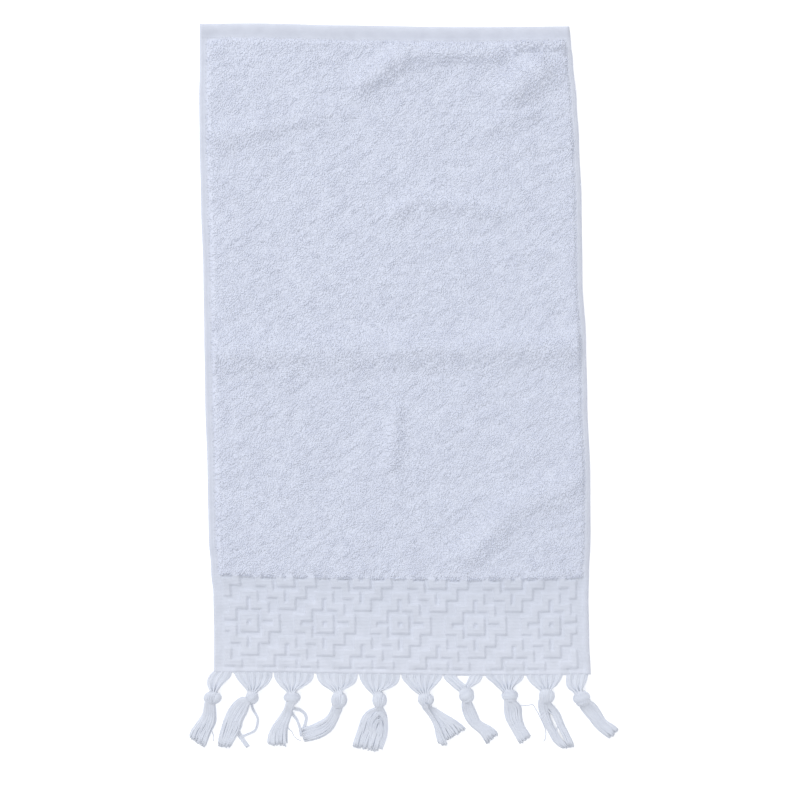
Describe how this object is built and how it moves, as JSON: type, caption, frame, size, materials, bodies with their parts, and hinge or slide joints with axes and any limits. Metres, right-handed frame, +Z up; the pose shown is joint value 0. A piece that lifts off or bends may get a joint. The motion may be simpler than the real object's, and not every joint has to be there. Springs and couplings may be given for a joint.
{
  "type": "fingertip towel",
  "caption": "White terry fingertip towel lying flat, with a raised stepped-diamond border and a fringe of knotted tassels.",
  "frame": {"origin": "middle of the cloth's underside, in the plane of the surface that the towel lies on", "axes": "+Z up out of the surface, +X across the towel, +Y along it from the tassels to the plain hem"},
  "size_m": [0.3392, 0.5827, 0.0094],
  "materials": {
    "white_cotton": "matte looped cotton pile, flat-woven border and loose soft yarn"
  },
  "bodies": {
    "root": {"cloth": "white_cotton", "tassel_01": "white_cotton", "tassel_02": "white_cotton", "tassel_03": "white_cotton", "tassel_04": "white_cotton", "tassel_05": "white_cotton", "tassel_06": "white_cotton", "tassel_07": "white_cotton", "tassel_08": "white_cotton", "tassel_09": "white_cotton", "tassel_10": "white_cotton"}
  },
  "joints": []
}
